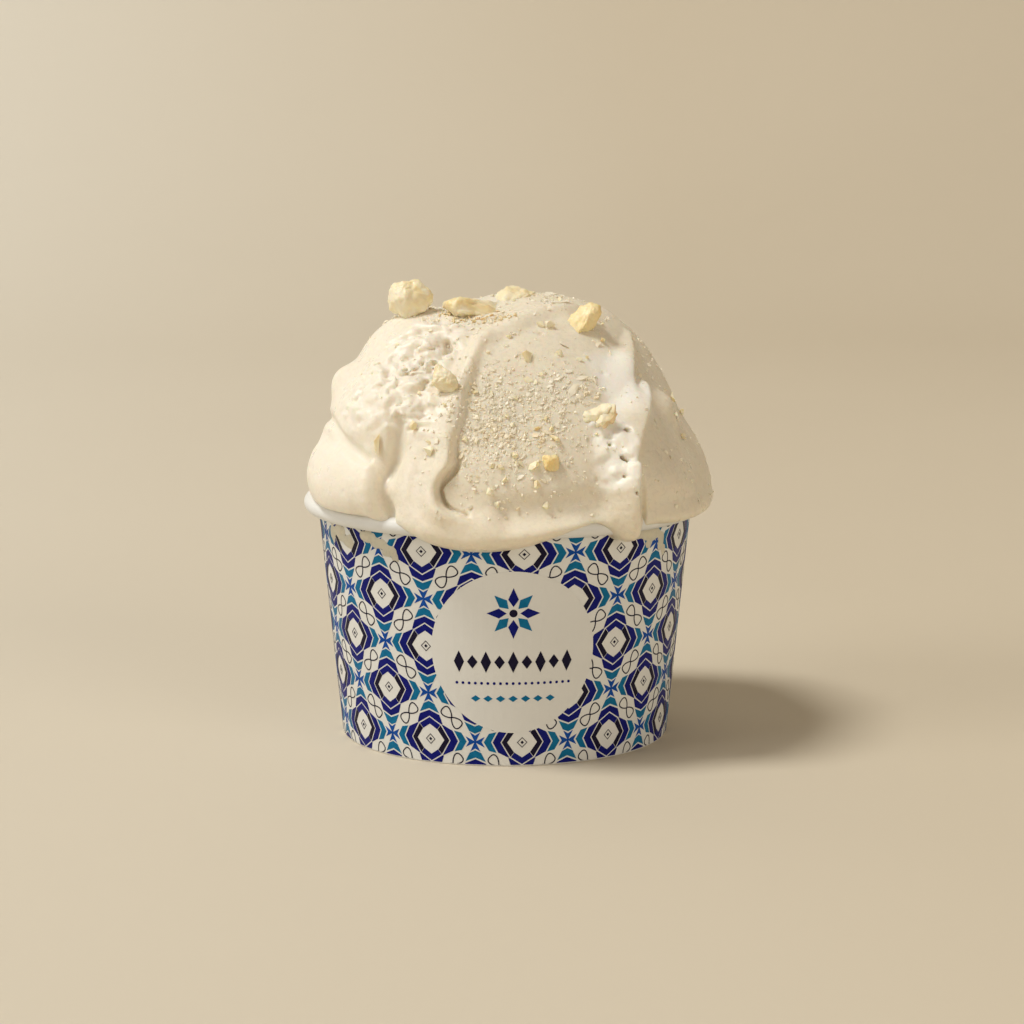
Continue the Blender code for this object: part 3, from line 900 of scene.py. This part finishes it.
SHOWN_CHIPS = [    # the same for the thicker chips
    (10.9, 52.3, (3.6, 3.2, 2.6)), (29.8, 64.3, (3.4, 2.6, 2.2)), (24, 65, (2.6, 2.2, 2.0)),
    (26.5, 52.6, (2.2, 2.0, 1.6)), (53.7, 54.4, (1.9, 1.8, 1.6)), (16.1, 25, (3.2, 2.6, 2.0)),
    (8.5, 17, (3.2, 2.8, 2.4)), (9.5, 12, (2.4, 2.4, 2.0)), (11.9, 6.3, (2.2, 2.2, 1.6)),
    (71.7, 20, (2.2, 2.2, 2.0)), (89.7, 30.6, (3.8, 2.4, 2.2)), (90.6, 25.4, (2.4, 2.0, 2.0)),
    (-27.7, 27, (2.0, 2.6, 1.8)), (-21.3, 20.6, (3.0, 3.0, 2.2)), (-37.4, 21.2, (4.0, 5.6, 2.2)),
    (-12.4, 25, (1.6, 2.6, 1.4)), (-5.1, 39.5, (1.6, 2.2, 1.4)), (-7.6, 53.8, (1.4, 1.4, 1.2)),
    (2.5, 61, (1.5, 1.5, 1.2)), (-3.7, 10, (2.6, 2.6, 2.0)), (4.0, 18.0, (1.6, 1.6, 1.2)),
]


def clustered(random, count):
    weights = np.array([c[4] for c in CLUSTERS], float)
    picks = random.choice(len(CLUSTERS), count, p=weights / weights.sum())
    for pick in picks:
        azimuth, elevation, wide, tall, _ = CLUSTERS[pick]
        azimuth += random.normal() * wide
        yield azimuth, float(np.clip(elevation + random.normal() * tall, 3, 88))


def build_crumbs(tree, pale, golden, toasted):
    random = np.random.default_rng(40)
    dust = []
    for azimuth, elevation in clustered(random, DUST_COUNT):
        grain = 0.38 + 0.95 * random.uniform(0, 1) ** 2.5
        size = (grain, grain * random.uniform(0.6, 1), grain * random.uniform(0.5, 0.9))
        dust.append((azimuth, elevation, size))
    scatter("nut_dust", tree, dust, pale, 41, sink=0.45)
    flakes = []
    for azimuth, elevation in clustered(random, 150):
        length = random.uniform(0.9, 2.0)
        flakes.append((azimuth, elevation, (length, length * random.uniform(0.6, 0.95), 0.75)))
    scatter("nut_flakes", tree, flakes + SHOWN_FLAKES, pale, 42, tilt=0.25)
    chips = list(SHOWN_CHIPS)
    for azimuth, elevation in clustered(random, 46):
        length = random.uniform(1.2, 2.4)
        chips.append((azimuth, elevation, (length, length * 0.8, length * 0.65)))
    scatter("nut_chips", tree, chips, golden, 43)
    # Brown toasted bits in a band across the top left: partly nut skins, partly painted shade under the
    # long nut there.
    skins_and_painted_shade = []
    for _ in range(90):
        grain = random.uniform(0.5, 1.5)
        azimuth, elevation = random.uniform(-62, 10), random.normal() * 2.2 + 70
        skins_and_painted_shade.append((azimuth, elevation, (grain, grain * 0.8, grain * 0.6)))
    scatter("nut_skins_and_painted_shade", tree, skins_and_painted_shade, toasted, 44, sink=0.3)


# ---- smears of gelato on the wall

SMEARS = [      # azimuth, height, half width, half height and thickness
    (-60, 51.2, 3.2, 2.2, 0.35), (-55, 49.6, 2.4, 1.8, 0.30), (-64.5, 50.4, 1.8, 2.4, 0.25),
    (-45, 51.6, 2.8, 1.6, 0.30), (-40, 50.2, 2.8, 1.5, 0.30), (-36.5, 48.8, 2.2, 1.5, 0.25),
    (-34.5, 47.6, 1.2, 1.4, 0.20), (50, 51.6, 3.6, 1.9, 0.35), (45.5, 52.0, 2.4, 1.3, 0.30),
    (55, 49.6, 1.6, 2.4, 0.25), (57, 47.6, 1.0, 1.5, 0.20), (48.5, 49.6, 1.4, 1.7, 0.20),
]


def build_smears(material):
    """Thin blots: a fine grid round the wall, kept only where a smear rises out of the paper."""
    step = 0.4
    around = np.arange(-75.0, 66.0, math.degrees(step / MEAN_RADIUS))
    heights = np.arange(44.0, 53.2, step)
    azimuth, height = np.meshgrid(around, heights, indexing="ij")
    rise = np.full(azimuth.shape, -1.0)
    for middle, level, wide, tall, thick in SMEARS:
        across = np.radians(azimuth - middle) * MEAN_RADIUS / wide
        rise = np.maximum(rise, thick * (1 - across ** 2 - ((height - level) / tall) ** 2))
    ways = np.radians(azimuth)
    spots = np.stack([np.sin(ways) * 45, -np.cos(ways) * 45, height], axis=-1).reshape(-1, 3)
    rise += 0.14 * lattice_noise(spots, 1.6, 16).reshape(rise.shape) - 0.03
    bm = bmesh.new()
    reach = wall_radius(height) + np.clip(rise, -0.08, None)
    verts = {}

    def vert(i, j):
        if (i, j) not in verts:
            verts[i, j] = bm.verts.new(round_axis(ways[i, j], reach[i, j], height[i, j]))
        return verts[i, j]
    for i in range(len(around) - 1):
        for j in range(len(heights) - 1):
            if rise[i:i + 2, j:j + 2].max() > 0:
                bm.faces.new((vert(i, j), vert(i, j + 1), vert(i + 1, j + 1), vert(i + 1, j)))
    for inner in thicken(bm):
        out = Vector((inner.co.x, inner.co.y, 0)).normalized()
        inner.co = out * (wall_radius(inner.co.z / MM) - 0.2) * MM + Vector((0, 0, inner.co.z))
    bmesh.ops.recalc_face_normals(bm, faces=bm.faces)
    new_object("gelato_smears", finished_mesh(bm, "gelato_smears"), material)


# ---- cup

def seam_lap(azimuth):
    """How far the wall stands out where its side seam overlaps at the back."""
    return SEAM_STEP * band((SEAM_AZIMUTH - azimuth) % 360, 0.0, 0.9, 7.0, 9.0)


def turned_mesh(name, profile, segments):
    """A closed profile of (radius, height, share of the seam's lap) turned about the axis."""
    azimuths = np.arange(segments) * 360.0 / segments
    lap, around = seam_lap(azimuths), np.radians(azimuths)
    verts = []
    for r, z, outside in profile:
        reach = r + lap * outside
        height = np.full(segments, z)
        verts.append(np.column_stack([np.sin(around) * reach, -np.cos(around) * reach, height]))
    faces = []
    for row in range(len(profile)):
        here, there = row * segments, (row + 1) % len(profile) * segments
        for i in range(segments):
            j = (i + 1) % segments
            faces.append((here + i, here + j, there + j, there + i))
    mesh = mesh_from_arrays(name, np.vstack(verts), faces)
    bm = bmesh.new()
    bm.from_mesh(mesh)
    bpy.data.meshes.remove(mesh)
    bmesh.ops.recalc_face_normals(bm, faces=bm.faces)
    return finished_mesh(bm, name, 35)


def build_wall(material):
    under_roll = ROLL_CENTRE_Z - ROLL_RADIUS * 0.97
    outside = [(wall_radius(z), z, 1.0) for z in np.linspace(0.25, under_roll, 14)]
    outside.insert(0, (wall_radius(0) - 0.2, 0.0, 1.0))
    turns = np.radians(np.linspace(-104, 176, 28))
    roll = [(ROLL_CENTRE_R + ROLL_RADIUS * math.cos(t), ROLL_CENTRE_Z + ROLL_RADIUS * math.sin(t), 0.25)
            for t in turns]
    ledge = BASE_BOTTOM - 0.1
    inside = [(wall_radius(z) - PAPER, z, 0.0) for z in (CUP_HEIGHT / 2, ledge)]
    hem = [(FOOT_INNER_RADIUS + 0.4, ledge, 0.0), (FOOT_INNER_RADIUS, 0.0, 0.0)]
    mesh = turned_mesh("paper_wall", outside + roll + inside + hem, 240)
    wall = new_object("paper_wall", mesh, material)
    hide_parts("cup_wall")


# ---- print: flat shapes in millimetres

CELL_ANGLE = 15.6        # azimuth from a medallion to the next star
CELL_HEIGHT = 11.0
FIRST_AZIMUTH = 5.9      # a medallion's middle
FIRST_HEIGHT = 5.7
INK_STAND = 0.05         # how far the ink stands over the paper
INK_DEPTH = 0.15
LABEL_AZIMUTH = 2.8
LABEL_HEIGHT = 26.9
LABEL_RADIUS = 18.9
LABEL_X = math.radians(LABEL_AZIMUTH) * MEAN_RADIUS
LABEL_STAND = 0.09
LABEL_INK_STAND = 0.13
STRIP_WIDTH = 2.2        # flat shapes are cut this narrow so that they can bend


def mirrored(shape, x=1, y=1):
    return [(px * x, py * y) for px, py in shape]


def diamond(half_width, half_height, x=0.0, y=0.0):
    return [(x, y + half_height), (x - half_width, y), (x, y - half_height), (x + half_width, y)]


def stroke_quads(path, width):
    """A closed path drawn as a line of the given width, one quad per step."""
    count = len(path)
    left, right = [], []
    for i, (x, y) in enumerate(path):
        ahead, behind = path[(i + 1) % count], path[i - 1]
        dx, dy = ahead[0] - behind[0], ahead[1] - behind[1]
        length = math.hypot(dx, dy)
        off_x, off_y = -dy / length * width / 2, dx / length * width / 2
        left.append((x + off_x, y + off_y))
        right.append((x - off_x, y - off_y))
    return [[left[i], left[(i + 1) % count], right[(i + 1) % count], right[i]] for i in range(count)]


def disc(x, y, radius, sides=20):
    turns = [2 * math.pi * i / sides for i in range(sides)]
    return [(x + radius * math.cos(turn), y + radius * math.sin(turn)) for turn in turns]


def medallion():
    """Shapes by ink round one cream diamond, from the inside out."""
    dark_side = [(1.95, 2.35), (3.6, 0), (1.95, -2.35), (2.8, -3.4), (4.9, 0), (2.8, 3.4)]
    inner_roof = [(0, 3.6), (1.85, 2.4), (2.7, 3.5), (0, 5.15), (-2.7, 3.5), (-1.85, 2.4)]
    navy_side = [(3.05, 3.6), (5.2, 0), (3.05, -3.6), (3.5, -3.5),
                 (5.75, -2.4), (7.05, 0), (5.75, 2.4), (3.5, 3.5)]
    navy_roof = [(0, 5.5), (2.95, 3.7), (3.3, 3.7), (3.0, 4.7), (2.55, 5.85), (0, 6.9),
                 (-2.55, 5.85), (-3.0, 4.7), (-3.3, 3.7), (-2.95, 3.7)]
    teal_roof = [(0, 7.3), (2.5, 6.3), (1.4, 8.4), (0, 9.0), (-1.4, 8.4), (-2.5, 6.3)]
    teal_side = [(7.45, 0), (6.15, 2.45), (7.95, 2.05), (9.2, 0), (7.95, -2.05), (6.15, -2.45)]
    shapes = {"dark": [], "navy": [], "teal": []}
    for way in (1, -1):
        shapes["dark"].append(mirrored(dark_side, x=way))
        shapes["navy"] += [mirrored(navy_side, x=way), mirrored(navy_roof, y=way)]
        shapes["navy"].append(mirrored(inner_roof, y=way))
        shapes["teal"] += [mirrored(teal_roof, y=way), mirrored(teal_side, x=way)]
    shapes["dark"] += stroke_quads(diamond(1.15, 1.15), 0.22)
    shapes["dark"].append(diamond(0.42, 0.42))
    return shapes


def star():
    arm = [(0.12, 0.16), (2.3, 1.25), (1.55, 0), (2.3, -1.25), (0.12, -0.16)]
    shapes = [[(0.16, 0.16), (-0.16, 0.16), (-0.16, -0.16), (0.16, -0.16)]]
    for c, s in ((1, 0), (0, 1), (-1, 0), (0, -1)):
        shapes.append([(px * c - py * s, px * s + py * c) for px, py in arm])
    return {"blue": shapes}


def figure_eight(slope):
    """A line that loops twice, lying on the diagonal between two stars."""
    path = []
    for i in range(44):
        turn = 2 * math.pi * (i + 0.5) / 44
        along = 2.95 * math.cos(turn)
        wide = math.sin(2 * turn)
        across = 1.2 * math.copysign(abs(wide) ** 0.75, wide)
        path.append(((along - across) * 0.707, (along + across) * 0.707 * slope))
    return {"dark": stroke_quads(path, 0.28)}


def label_shapes():
    """A plain rosette over rows of lozenges and dots."""
    shapes = {"dark": [], "navy": [], "teal": []}
    petal = [(1.5, 0), (3.2, 1.15), (5.9, 0), (3.2, -1.15)]
    rosette_height, petals = 9.2, 8
    for i in range(petals):
        turn = 2 * math.pi * i / petals
        c, s = math.cos(turn), math.sin(turn)
        spun = [(x * c - y * s, x * s + y * c + rosette_height) for x, y in petal]
        shapes["navy" if i % 2 == 0 else "teal"].append(spun)
    shapes["dark"].append(disc(0, rosette_height, 0.9))
    for i in range(-4, 5):
        tall = 2.5 if i % 2 == 0 else 1.6
        shapes["dark"].append(diamond(1.2, tall, i * 3.1, -2.2))
    for i in range(-9, 10):
        shapes["navy"].append(disc(i * 1.45, -7.2, 0.34, 10))
    for i in range(-3, 4):
        shapes["teal"].append(diamond(1.1, 0.75, i * 2.9, -10.8))
    return shapes


def print_layout():
    """Every printed shape by ink, as flat outlines: x is arc length at MEAN_RADIUS, y is height."""
    layers = {"dark": [], "navy": [], "blue": [], "teal": []}
    step_x = math.radians(CELL_ANGLE) * MEAN_RADIUS
    first_x = math.radians(FIRST_AZIMUTH) * MEAN_RADIUS
    columns = int(HALF_TURN / step_x) + 2

    def stamp(shapes, x, y):
        for ink, outlines in shapes.items():
            layers[ink] += [[(px + x, py + y) for px, py in outline] for outline in outlines]
    for column in range(-columns, columns + 1):
        for row in range(-1, 6):
            x, y = first_x + column * step_x, FIRST_HEIGHT + row * CELL_HEIGHT
            stamp(medallion() if (column + row) % 2 == 0 else star(), x, y)
            slope = 1 if (column + row) % 2 else -1
            stamp(figure_eight(slope), x + step_x / 2, y + CELL_HEIGHT / 2)
    return layers


def slice_sheet(bm, point, normal, clear=False):
    parts = bm.verts[:] + bm.edges[:] + bm.faces[:]
    bmesh.ops.bisect_plane(bm, geom=parts, plane_co=point, plane_no=normal, clear_outer=clear)


def outline_mesh(outlines, keep_inside):
    """Fill the outlines and cut them to the sheet's edges and to strips narrow enough to bend."""
    bm = bmesh.new()
    for outline in outlines:
        bm.faces.new([bm.verts.new((x, y, 0)) for x, y in outline])
    bmesh.ops.recalc_face_normals(bm, faces=bm.faces)
    for face in bm.faces:
        if face.normal.z < 0:
            face.normal_flip()
    bmesh.ops.triangulate(bm, faces=bm.faces)
    (x0, x1), (y0, y1) = keep_inside
    for point, normal in (((x0, 0, 0), (-1, 0, 0)), ((x1, 0, 0), (1, 0, 0)),
                          ((0, y0, 0), (0, -1, 0)), ((0, y1, 0), (0, 1, 0))):
        slice_sheet(bm, point, normal, clear=True)
    for x in np.arange(x0, x1, STRIP_WIDTH):
        slice_sheet(bm, (x, 0, 0), (1, 0, 0))
    bmesh.ops.dissolve_degenerate(bm, dist=0.002, edges=bm.edges)
    return bm


def wrap_on_wall(bm, stand, depth):
    """Thicken a flat sheet and bend it round the cup."""
    top = set(thicken(bm))
    for vert in bm.verts:
        turn, height = vert.co.x / MEAN_RADIUS, vert.co.y
        lap = float(seam_lap(math.degrees(turn)))
        reach = wall_radius(height) + lap + (stand if vert in top else -depth)
        vert.co = round_axis(turn, reach, height)
    bmesh.ops.recalc_face_normals(bm, faces=bm.faces)


def print_piece(name, outlines, material, stand=INK_STAND, depth=INK_DEPTH):
    foot, top = 0.35, ROLL_CENTRE_Z - ROLL_RADIUS - 0.1
    bm = outline_mesh(outlines, ((-HALF_TURN, HALF_TURN), (foot, top)))
    wrap_on_wall(bm, stand, depth)
    mesh = bpy.data.meshes.new(name)
    bm.to_mesh(mesh)
    bm.free()
    return new_object(name, mesh, material)


def hidden_by_label(outline):
    return all(math.hypot(x - LABEL_X, y - LABEL_HEIGHT) < LABEL_RADIUS - 0.05 for x, y in outline)


def build_print(inks, label_paper):
    for ink, outlines in print_layout().items():
        shown = [outline for outline in outlines if not hidden_by_label(outline)]
        print_piece(f"print_{ink}", shown, inks[ink])
    label = disc(LABEL_X, LABEL_HEIGHT, LABEL_RADIUS, 96)
    print_piece("label_disc", [label], label_paper, stand=LABEL_STAND)
    for ink, outlines in label_shapes().items():
        moved = [[(x + LABEL_X, y + LABEL_HEIGHT) for x, y in outline] for outline in outlines]
        print_piece(f"label_{ink}", moved, inks[ink], stand=LABEL_INK_STAND)


# ---- stage, light and camera

SWEEP_START = 0.9      # metres behind the object where the floor starts to curve up
SWEEP_RADIUS = 0.7
MIDDLE = Vector((0.0, 0.0, 0.06))      # what the lights point at
LIGHTS = [     # name, way from MIDDLE, distance, size, power and colour
    ("key", (-0.47, -0.13, 0.87), 3.6, 0.95, 81.0, (1.0, 0.99, 0.96)),
    ("side", (-0.84, -0.38, 0.38), 3.2, 1.8, 28.0, (1.0, 0.985, 0.95)),
    ("fill", (0.67, -0.69, 0.27), 3.0, 1.8, 21.0, (1.0, 0.93, 0.82)),
]
CAMERA_AIM = Vector((0.00173, 0.0, 0.0522))
CAMERA_ELEVATION = 9.28
CAMERA_DISTANCE = 0.669


def build_stage():
    """A seamless sheet: flat floor that sweeps up behind, with painted light making it paler on the left.
    """
    material, tree, shader = base_material("backdrop_paper", (0.63, 0.555, 0.43), 0.8)
    place = object_coordinates(tree)
    clouds = noise_texture(tree, place, 2.0, 2.0)
    tone = ramp(tree, clouds, [(0.3, (0.62, 0.545, 0.42)), (0.7, (0.64, 0.565, 0.44))])
    split = tree.nodes.new("ShaderNodeSeparateXYZ")
    tree.links.new(place, split.inputs["Vector"])
    # Painted light: the paper's colour lightens towards the left, where the key light stands.
    across = add_node(tree, "ShaderNodeMapRange")
    across.inputs["From Min"].default_value = -0.55
    across.inputs["From Max"].default_value = 0.10
    tree.links.new(split.outputs["X"], across.inputs["Value"])
    colour = mix_colours(tree, across.outputs["Result"], (0.72, 0.685, 0.60), tone)
    tree.links.new(colour, shader.inputs["Base Color"])
    shader.inputs["Specular IOR Level"].default_value = 0.1
    profile = [(-2.0, 0.0), (SWEEP_START, 0.0)]
    for turn in np.radians(range(6, 91, 6)):
        profile.append((SWEEP_START + SWEEP_RADIUS * math.sin(turn), SWEEP_RADIUS * (1 - math.cos(turn))))
    profile.append((SWEEP_START + SWEEP_RADIUS, 3.0))
    bm = bmesh.new()
    rows = [[bm.verts.new((x, y, z)) for x in (-3.0, 3.0)] for y, z in profile]
    for a, b in zip(rows[:-1], rows[1:]):
        bm.faces.new((a[0], a[1], b[1], b[0]))
    mesh = finished_mesh(bm, "backdrop")
    mesh.materials.append(material)
    backdrop = add_to_scene("backdrop", mesh)


def build_lights():
    """Three soft discs of light in a dim warm room."""
    for name, way, distance, size, power, colour in LIGHTS:
        data = bpy.data.lights.new(name, "AREA")
        data.shape = "DISK"
        data.size = size
        data.energy = power
        data.color = colour
        lamp = add_to_scene(name, data)
        lamp.location = MIDDLE + Vector(way).normalized() * distance
        lamp.rotation_euler = (MIDDLE - lamp.location).to_track_quat("-Z", "Y").to_euler()
    world = bpy.data.worlds.new("soft_room")
    world.use_nodes = True
    room = world.node_tree.nodes["Background"]
    room.inputs["Color"].default_value = (1.0, 0.85, 0.69, 1.0)
    room.inputs["Strength"].default_value = 0.23
    bpy.context.scene.world = world


def build_camera():
    """Low, long-lens view from the front, with the cup a little left of the frame's middle."""
    elevation = math.radians(CAMERA_ELEVATION)
    data = bpy.data.cameras.new("camera")
    data.lens = 99.0
    data.sensor_width = 36.0
    camera = add_to_scene("camera", data)
    way = Vector((0, -math.cos(elevation), math.sin(elevation)))
    camera.location = CAMERA_AIM + way * CAMERA_DISTANCE
    camera.rotation_euler = (CAMERA_AIM - camera.location).to_track_quat("-Z", "Y").to_euler()
    bpy.context.scene.camera = camera
    bpy.context.scene.view_settings.view_transform = "Standard"


def main():
    build_camera()
    build_stage()
    build_lights()
    paper = paper_material("cup_paper", (0.76, 0.76, 0.73), 0.42)
    label_paper = paper_material("label_paper", (0.74, 0.735, 0.70), 0.38)
    board = paper_material("base_board", (0.70, 0.66, 0.58), 0.65, 0.6)
    inks = {
        "dark": ink_material("ink_dark", (0.006, 0.004, 0.022)),
        "navy": ink_material("ink_navy", (0.002, 0.005, 0.140)),
        "blue": ink_material("ink_blue", (0.003, 0.060, 0.300)),
        "teal": ink_material("ink_teal", (0.002, 0.130, 0.270)),
    }
    base_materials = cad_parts["cup_base"].data.materials
    base_materials.clear()
    base_materials.append(board)
    build_wall(paper)
    build_print(inks, label_paper)
    cream = gelato_material("gelato_cream", CREAM)
    tree = build_gelato(cream)
    kernel = nut_material("nut_kernel", (0.96, 0.88, 0.66), (0.90, 0.72, 0.35), (0.68, 0.42, 0.16))
    golden = nut_material("nut_golden", (0.93, 0.79, 0.46), (0.89, 0.66, 0.26), (0.66, 0.40, 0.13))
    crumb = nut_material("nut_crumb", (0.94, 0.88, 0.73), (0.92, 0.82, 0.60), (0.84, 0.66, 0.40), 0.0)
    toasted = nut_material("nut_toasted", (0.86, 0.71, 0.45), (0.74, 0.50, 0.24), (0.44, 0.23, 0.08))
    build_nuts(kernel, golden, toasted)
    # Painted shade: the smears' cream is a darker copy of the heap's, for the shade under the overhanging
    # lip.
    build_smears(gelato_material("gelato_smear", (0.70, 0.61, 0.46)))
    build_crumbs(tree, crumb, kernel, toasted)


main()
